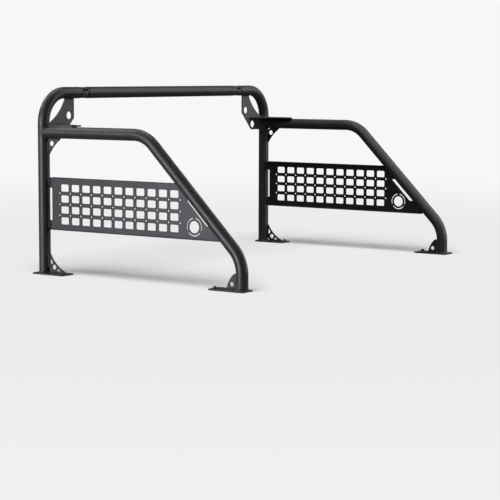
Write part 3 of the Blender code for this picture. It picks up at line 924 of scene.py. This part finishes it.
def half_mesh(c, d, n, t, keep):
    """One half: shank, collar with eased edges, lapping tongue."""
    seg = 72
    rows = [(C_HALF + 20 * MM, 19.0, 0, 0), (C_HALF + 0.2 * MM, 19.0, 0, 0), (C_HALF, 21.2, 0, .5), (C_HALF - 0.8 * MM, 22.05, 0, .9),
            (C_HALF - COLLAR + 1.0 * MM, 22.05, 0, .9), (C_HALF - COLLAR + 0.1 * MM, 21.2, 0, .6),
            (C_HALF - COLLAR, 19.6, 0, 0), (C_HALF - COLLAR - 0.1 * MM, 19.6, 1, 0),
            (C_HALF - COLLAR - 2.0 * MM, 19.6, 1, 0), (C_HALF - COLLAR - 2.1 * MM, 20.6, 1, .5), (C_HALF - COLLAR - 2.7 * MM, 21.0, 1, .7),
            (-(C_HALF - COLLAR) + 3.0 * MM, 21.0, 1, .7), (-(C_HALF - COLLAR) + 2.4 * MM, 20.4, 1, .5), (-(C_HALF - COLLAR) + 0.7 * MM, 20.2, 1, 0)]
    s = Shape()
    rings = []
    for x, r, lap, e in rows:
        ids = []
        for j in range(seg):
            a = 2 * PI * (j + 0.5) / seg
            pn, pt = r * MM * math.cos(a), r * MM * math.sin(a)
            if lap and keep > 0 and j == 10:       # fine groove that runs along the tongue below the screws
                pn, pt = (r - 1.1) * MM * math.cos(a), (r - 1.1) * MM * math.sin(a)
            if lap and pn * keep < 0.15 * MM:
                pn = keep * 0.15 * MM
            ids.append(s.pt(c + Vector((d * x, 0, 0)) + n * pn + t * pt, None, e))
        rings.append(ids)
    for a, b in zip(rings[:-1], rings[1:]):
        s.loft(a, b)
    s.f.append(tuple(rings[0]))
    s.f.append(tuple(rings[-1][::-1]))
    me = bpy.data.meshes.new("half")
    me.from_pydata(s.v, [], s.f)
    bm = bmesh.new()
    bm.from_mesh(me)
    bmesh.ops.recalc_face_normals(bm, faces=bm.faces[:])
    bm.to_mesh(me)
    bm.free()
    return me


def coupler(side, tag):
    n = Vector((0, -math.cos(TILT), math.sin(TILT)))
    t = Vector((1, 0, 0)).cross(n)
    cx = COUPLER_X[tag]
    c = Vector((cx, YH, ZB))
    for which in ("outer", "inner"):
        outward = 1 if tag == "right" else -1
        d = outward if which == "outer" else -outward
        keep = -1 if which == "outer" else 1
        me = half_mesh(c, d, n, t, keep)
        tmp = bpy.data.objects.new("half", me)
        bpy.context.scene.collection.objects.link(tmp)
        s = Shape()
        u = n.orthogonal().normalized()
        v = n.cross(u)
        for k in (-0.5, 0.5):
            p = c + Vector((k * 15 * MM, 0, 0))
            prof = [(-30, 3.45), (10, 3.45), (10, 6.0), (20.2, 6.0), (22.5, 7.9)] if which == "inner" else [(-30, 3.45), (6, 3.45)]
            prev = None
            for h, r in prof:
                ids = [s.pt(p + n * h * MM + (u * math.cos(2 * PI * j / 40) + v * math.sin(2 * PI * j / 40)) * r * MM) for j in range(40)]
                if prev:
                    s.loft(prev, ids)
                else:
                    s.f.append(tuple(ids))
                prev = ids
            s.f.append(tuple(prev[::-1]))
        cut = bpy.data.meshes.new("cut")
        cut.from_pydata(s.v, [], s.f)
        out = applied(tmp, cut)
        bpy.data.objects.remove(tmp)
        out.name = f"{tag}_coupler_{which}_v"
        out.shade_smooth()
        out.set_sharp_from_angle(angle=math.radians(34))
        put(out.name, out, "plate_coat", f"{tag}_coupler_{which}")
    for k, word in ((-0.5, "a"), (0.5, "b")):
        p = c + Vector((k * 15 * MM, 0, 0))
        hx = lambda a: hexr(a, 4.9, 0.3 if word == "a" else 0.8)
        rows = [(-18.4, 2.6, 0), (-18.0, 2.95, 0), (10.4, 2.95, 0), (10.4, 4.7, 0), (10.7, 5.0, .3), (14.7, 5.0, .2), (15.25, 4.7, .5),
                (15.5, 4.3, .3), (15.5, 3.1, .2), (15.1, hx, .1), (11.9, hx, 0), (11.6, 1.4, 0)]
        turned_part(f"{tag}_coupler_screw_{word}_v", p, n, rows, "fastener_black", f"{tag}_coupler_screw_{word}")


# ---- welds ----------------------------------------------------------------------
def ring_path(cx, cy, z, r, n=72):
    out = []
    for k in range(n):
        a = 2 * PI * k / n
        rad = Vector((math.cos(a), math.sin(a), 0))
        out.append((Vector((cx, cy, z)) + rad * r, Vector((0, 0, 1)), rad))
    return out


def welds(side, tag):
    X = side * X0
    half = GT / 2
    dr = math.sqrt(R * R - half * half)
    sin_ = half / R
    cos_ = dr / R
    # tube feet on the base plates
    for where, y in (("front", YH), ("rear", YH - LEG)):
        weld(f"{tag}_{where}_foot_weld", [(ring_path(X, y, TOP_PLATE, R), 4.6 * MM, True)])
    # side tube on the upright: over the top, round both flanks, under
    runs = []
    for a0, a1 in ((7, 173), (187, 353)):
        path = []
        for k in range(49):
            a = math.radians(a0 + (a1 - a0) * k / 48)
            x, dz = R * math.cos(a), R * math.sin(a)
            y = -math.sqrt(max(R * R - x * x, 0.0))
            path.append((Vector((X + side * x, YH + y, ZS + dz)), Vector((side * x / R, y / R, 0)), Vector((side * x / R, 0, dz / R))))
        runs.append((path, 3.0 * MM, False))
    weld(f"{tag}_side_tube_weld", runs)
    # corner gusset: along the crossbar's underside and down the upright
    beads = []
    for s in (1, -1):
        up = Vector((0, s * sin_, -cos_))
        beads.append((straight((side * 0.5665, YH + s * half, ZB - dr), (side * 0.6145, YH + s * half, ZB - dr), up, (0, s, 0)), 4.2 * MM, False))
        inn = Vector((-side * cos_, s * sin_, 0))
        beads.append((straight((X - side * dr, YH + s * half, 0.507), (X - side * dr, YH + s * half, 0.5535), inn, (0, s, 0)), 4.2 * MM, False))
    weld(f"{tag}_corner_gusset_weld", beads)
    # shelf gusset: round the upright on top, along the tube's crown outside, and to the corner gusset
    zt = ZS + 22.225 * MM + 0.8 * MM
    beads = []
    arc = []
    for k in range(25):
        a = math.radians(192 + (281 - 192) * k / 24)
        rad = Vector((side * math.cos(a), math.sin(a), 0))
        arc.append((Vector((X, YH, zt + 5.0 * MM)) + rad * R, Vector((0, 0, 1)), rad))
    beads.append((arc, 4.4 * MM, False))
    edge = []
    for k in range(17):
        s = k / 16
        y = -24.5 * MM + (-146.8 + 24.5) * MM * s
        x = (5.2 + 1.8 * s) * MM
        z = ZS + math.sqrt(R * R - x * x)
        edge.append((Vector((X + side * x, YH + y, z)), Vector((side * x / R, 0, math.sqrt(R * R - x * x) / R)), Vector((side, 0, 0))))
    beads.append((edge, 4.0 * MM, False))
    rear = []
    for k in range(9):
        x = (7.4 - 16.9 * k / 8) * MM
        y = (-145.3 - 9.4 * k / 8) * MM
        z = ZS + math.sqrt(R * R - x * x)
        rear.append((Vector((X + side * x, YH + y, z)), Vector((side * x / R, 0, math.sqrt(R * R - x * x) / R)),
                     Vector((side * 0.43, -0.90, 0)).normalized()))
    beads.append((rear, 2.6 * MM, False))
    beads.append((straight((side * 0.625, YH - half - 0.3 * MM, zt + 4.9 * MM), (side * 0.7085, YH - half - 0.3 * MM, zt + 4.9 * MM), (0, 0, 1), (0, -1, 0)), 3.6 * MM, False))
    weld(f"{tag}_shelf_gusset_weld", beads)
    # upper gusset
    beads = []
    for s in (1, -1):
        sx = side * s
        beads.append((straight((X + sx * half, YH - 0.036, ZS - dr), (X + sx * half, YH - 0.079, ZS - dr), (sx * sin_, 0, -cos_), (sx, 0, 0)), 3.8 * MM, False))
        beads.append((straight((X + sx * half, YH - dr, 0.4525), (X + sx * half, YH - dr, 0.497), (sx * sin_, -cos_, 0), (sx, 0, 0)), 3.8 * MM, False))
    weld(f"{tag}_upper_gusset_weld", beads)
    # foot gussets
    for where, y, lo, hi, a, b in (("front", YH - dr, 0.0235, 0.0755, YH - 0.040, YH - 0.1005),
                                   ("rear", YH - LEG + dr, 0.016, 0.059, YH - LEG + 0.032, YH - LEG + 0.0625)):
        f = -1 if where == "front" else 1
        beads = []
        for s in (1, -1):
            sx = side * s
            beads.append((straight((X + sx * half, y, lo), (X + sx * half, y, hi), (sx * sin_, f * cos_, 0), (sx, 0, 0)), 3.6 * MM, False))
            beads.append((straight((X + sx * half, a, TOP_PLATE), (X + sx * half, b, TOP_PLATE), (0, 0, 1), (sx, 0, 0)), 3.6 * MM, False))
        weld(f"{tag}_{where}_gusset_weld", beads)
    # side panel: tabs to the upright and to the diagonal
    beads = []
    for za, zb in ((0.1685, 0.2015), (0.3265, 0.3605)):
        for s in (1, -1):
            off = -3.0 * MM if s > 0 else -6.0 * MM
            sx = side * s
            yy = YH - math.sqrt(R * R - off * off)
            nn = Vector((side * off / R, -math.sqrt(R * R - off * off) / R, 0))
            beads.append((straight((X + side * off, yy, za), (X + side * off, yy, zb), nn, (sx, 0, 0)), 7.0 * MM if s > 0 else 4.4 * MM, False))
    dn = Vector((0, 1, -1)).normalized()               # from the diagonal's axis towards the panel
    for za, zb in ((0.1690, 0.2165), (0.3075, 0.3605)):
        for s in (1, -1):
            off = -3.0 * MM if s > 0 else -6.0 * MM
            sx = side * s
            reach = math.sqrt(R * R - off * off)
            nn = (Vector((side * off / R, 0, 0)) + dn * (reach / R))
            ends = []
            for z in (za, zb):
                base = Vector((X + side * off, YH + (z - ZL - LEG + 22.1 * MM * math.sqrt(2)), z))
                axis_pt = Vector((X, YH, 0)) + Vector((0, z - ZL - LEG + 22.1 * MM * math.sqrt(2), z)) - dn * 22.1 * MM
                ends.append(axis_pt + Vector((side * off, 0, 0)) + dn * reach)
            beads.append((straight(ends[0], ends[1], nn, (sx, 0, 0)), 5.2 * MM if s > 0 else 4.0 * MM, False))
    weld(f"{tag}_side_panel_weld", beads)
    # the coupler's collars, welded to the tube ends and dressed flush
    cx = COUPLER_X[tag]
    for end, word in ((1, "outer"), (-1, "inner")):
        base = Vector((cx + side * end * C_HALF, YH, ZB))
        rows = [(-2.6, 21.0, 0), (-2.6, 21.9, 0), (-1.9, 22.07, 0.1), (-0.9, 22.11, 0.2), (0.4, 22.12, 0.2), (1.6, 22.11, 0.2),
                (2.6, 22.08, 0.1), (3.3, 21.9, 0), (3.3, 21.0, 0)]
        s = Shape()
        rings = []
        for h, r, e in rows:
            rings.append([s.pt(base + Vector((side * end * h * MM, r * MM * math.cos(2 * PI * j / 96), r * MM * math.sin(2 * PI * j / 96))), None, e)
                          for j in range(96)])
        for a, b in zip(rings, rings[1:] + rings[:1]):
            s.loft(a, b)
        s.make(f"{tag}_coupler_{word}_weld", "tube_coat", 40)


# ---- build ----------------------------------------------------------------------
tubes()
for side, tag in SIDES:
    gussets(side, tag)
    feet(side, tag)
    side_panel(side, tag)
    coupler(side, tag)
    welds(side, tag)


# ---- floor, light, camera -------------------------------------------------------
VIEW_YAW = math.radians(55.592)


def stage():
    """A pale floor that runs out into a white surround. What the black coat mirrors is
    kept dark, as in a studio with flags, so only the soft boxes show in it."""
    k, cells = 60.0, 24
    me = bpy.data.meshes.new("floor")
    bm = bmesh.new()
    bmesh.ops.create_grid(bm, x_segments=cells, y_segments=cells, size=k)
    bmesh.ops.translate(bm, verts=bm.verts[:], vec=(0, 0, -0.0002))
    bm.to_mesh(me)
    bm.free()
    fl = bpy.data.objects.new("floor", me)
    bpy.context.scene.collection.objects.link(fl)
    mat = bpy.data.materials.new("floor_pale")
    nt = nodes_of(mat)
    n, l = nt.nodes, nt.links
    out = n.new("ShaderNodeOutputMaterial")
    pale = n.new("ShaderNodeBsdfDiffuse")
    pale.inputs["Color"].default_value = (0.84, 0.84, 0.845, 1)
    far = n.new("ShaderNodeEmission")
    far.inputs["Color"].default_value = (SURROUND, SURROUND, SURROUND, 1)
    dim = n.new("ShaderNodeBsdfDiffuse")
    dim.inputs["Color"].default_value = (0.07, 0.07, 0.07, 1)
    tc = n.new("ShaderNodeTexCoord")
    dist = n.new("ShaderNodeVectorMath")
    dist.operation = "LENGTH"
    l.new(tc.outputs["Object"], dist.inputs[0])
    fade = n.new("ShaderNodeMapRange")
    fade.interpolation_type = "SMOOTHSTEP"
    fade.inputs["From Min"].default_value = 1.6
    fade.inputs["From Max"].default_value = 6.0
    l.new(dist.outputs["Value"], fade.inputs["Value"])
    m1 = n.new("ShaderNodeMixShader")
    l.new(fade.outputs[0], m1.inputs[0])
    l.new(pale.outputs[0], m1.inputs[1])
    l.new(far.outputs[0], m1.inputs[2])
    path = n.new("ShaderNodeLightPath")
    m2 = n.new("ShaderNodeMixShader")
    l.new(path.outputs["Is Camera Ray"], m2.inputs[0])
    l.new(dim.outputs[0], m2.inputs[1])
    l.new(m1.outputs[0], m2.inputs[2])
    l.new(m2.outputs[0], out.inputs[0])
    me.materials.append(mat)

    w = bpy.data.worlds.new("studio")
    bpy.context.scene.world = w
    w.use_nodes = True
    nt = w.node_tree
    nt.nodes.clear()
    n, l = nt.nodes, nt.links
    out = n.new("ShaderNodeOutputWorld")
    seen = n.new("ShaderNodeBackground")
    seen.inputs[0].default_value = (SURROUND, SURROUND, SURROUND, 1)
    fill = n.new("ShaderNodeBackground")
    fill.inputs[0].default_value = (1, 1, 1, 1)
    fill.inputs[1].default_value = 0.03
    path = n.new("ShaderNodeLightPath")
    mx = n.new("ShaderNodeMixShader")
    l.new(path.outputs["Is Camera Ray"], mx.inputs[0])
    l.new(fill.outputs[0], mx.inputs[1])
    l.new(seen.outputs[0], mx.inputs[2])
    l.new(mx.outputs[0], out.inputs[0])
    return fl


SURROUND = 0.93


def group(name, objects):
    c = bpy.data.collections.new(name)
    for o in objects:
        c.objects.link(o)
    return c


def soft_box(name, az, el, width, strength, receivers=None, blockers=None):
    """A large soft source far off. az is from the camera's side, to its right; width is the
    angle it fills. Flags keep it to its receivers."""
    d = bpy.data.lights.new(name, "SUN")
    d.energy = strength
    d.angle = math.radians(width)
    o = bpy.data.objects.new(name, d)
    bpy.context.scene.collection.objects.link(o)
    c = Vector((-math.sin(VIEW_YAW), -math.cos(VIEW_YAW), 0))
    r = Vector((math.cos(VIEW_YAW), -math.sin(VIEW_YAW), 0))
    a, e = math.radians(az), math.radians(el)
    to = (c * math.cos(a) + r * math.sin(a)) * math.cos(e) + Vector((0, 0, math.sin(e)))
    o.rotation_mode = "QUATERNION"
    o.rotation_quaternion = (-to).to_track_quat("-Z", "Y")
    o.location = to * 6
    if receivers is not None:
        o.light_linking.receiver_collection = receivers
    if blockers is not None:
        o.light_linking.blocker_collection = blockers
    return o


def lights(floor):
    parts = [o for o in bpy.data.objects if o.type == "MESH" and not o.hide_render and o is not floor]
    all_ = group("lit_all", parts)
    near = group("lit_near", [o for o in parts if o.name.startswith("left")])
    far = group("lit_far", [o for o in parts if o.name.startswith("right")])
    bar = group("lit_bar", [o for o in parts if o.name.startswith("crossbar")])
    webs = group("lit_webs", [o for o in parts if "corner_gusset" in o.name])
    ground = group("lit_floor", [floor])
    soft_box("floor_light", -30, 66, 50, 3.3, ground)
    soft_box("web_light", 58, 24, 50, 1.75, webs)
    top = group("lit_far_top", [o for o in parts if o.name.startswith(("right_side_tube", "right_shelf"))])
    soft_box("far_top_light", -36, 56, 36, 0.34, top)
    for k, (az, el, width, e) in enumerate(((180, 68, 36, 0.81), (80, 5, 28, 0.45), (115, 40, 28, 0.38),
                                            (128, 5, 40, 0.36), (-25, 5, 28, 0.21), (-50, 40, 28, 0.18))):
        soft_box(f"all_{k}", az, el, width, e, all_)
    for k, (az, el, width, e) in enumerate(((-50, 5, 17, 1.66), (-84, 5, 34, 0.56), (-130, 38, 40, 0.46), (-115, 40, 28, 0.68), (-50, -16, 40, 0.56), (150, 3, 44, 1.15), (104, 3, 40, 0.22), (-150, -16, 30, 0.70))):
        soft_box(f"near_{k}", az, el, width, e, near, all_)
    for k, (az, el, width, e) in enumerate(((45, 60, 50, 0.85), (100, 8, 40, 0.36), (66, 8, 50, 0.58), (80, 42, 40, 0.66), (-130, 6, 36, 0.42))):
        soft_box(f"far_{k}", az, el, width, e, far)
    far_frame = group("lit_far_frame", [o for o in parts if o.name.startswith("right") and "side_panel" not in o.name])
    soft_box("far_frame_light", -40, 40, 40, 0.34, far_frame)
    # a small soft box close to the rear of the near panel
    d = bpy.data.lights.new("panel_light", "AREA")
    d.shape, d.size, d.energy = "DISK", 0.45, 2.7
    o = bpy.data.objects.new("panel_light", d)
    bpy.context.scene.collection.objects.link(o)
    o.location = (-0.7345 - 0.62, YH - 0.80, 0.26)
    o.rotation_mode = "QUATERNION"
    o.rotation_quaternion = Vector((1, 0, 0)).to_track_quat("-Z", "Y")
    o.visible_camera = False
    panel = group("lit_panel", [p for p in parts if p.name.startswith("left_side_panel")])
    o.light_linking.receiver_collection = panel
    o.light_linking.blocker_collection = all_
    for k, (az, el, width, e) in enumerate(((-115, 40, 28, 0.68), (96, 6, 50, 0.42), (40, 20, 60, 0.55), (112, 42, 30, 0.14), (80, 40, 30, 0.13), (-130, 8, 36, 0.80))):
        soft_box(f"bar_{k}", az, el, width, e, bar)


def camera():
    yaw, pitch, roll = math.radians(55.592), math.radians(-6.113), math.radians(0.152)
    f = Vector((math.sin(yaw) * math.cos(pitch), math.cos(yaw) * math.cos(pitch), math.sin(pitch)))
    r = Vector((math.cos(yaw), -math.sin(yaw), 0))
    u = r.cross(f)
    rr = r * math.cos(roll) + u * math.sin(roll)
    uu = -r * math.sin(roll) + u * math.cos(roll)
    cam = bpy.data.cameras.new("camera")
    cam.sensor_width = 36.0
    cam.sensor_fit = "HORIZONTAL"
    cam.lens = 1646.8 / 500 * 36.0
    cam.clip_start, cam.clip_end = 0.1, 400.0
    cam.dof.use_dof = False
    ob = bpy.data.objects.new("camera", cam)
    bpy.context.scene.collection.objects.link(ob)
    m = Matrix((rr, uu, -f)).transposed().to_4x4()
    m.translation = Vector((-5.39760, -3.67695, 0.75193))
    ob.matrix_world = m
    bpy.context.scene.camera = ob


lights(stage())
camera()
sc = bpy.context.scene
sc.view_settings.view_transform = "Standard"
sc.view_settings.look = "None"

bpy.context.view_layer.update()
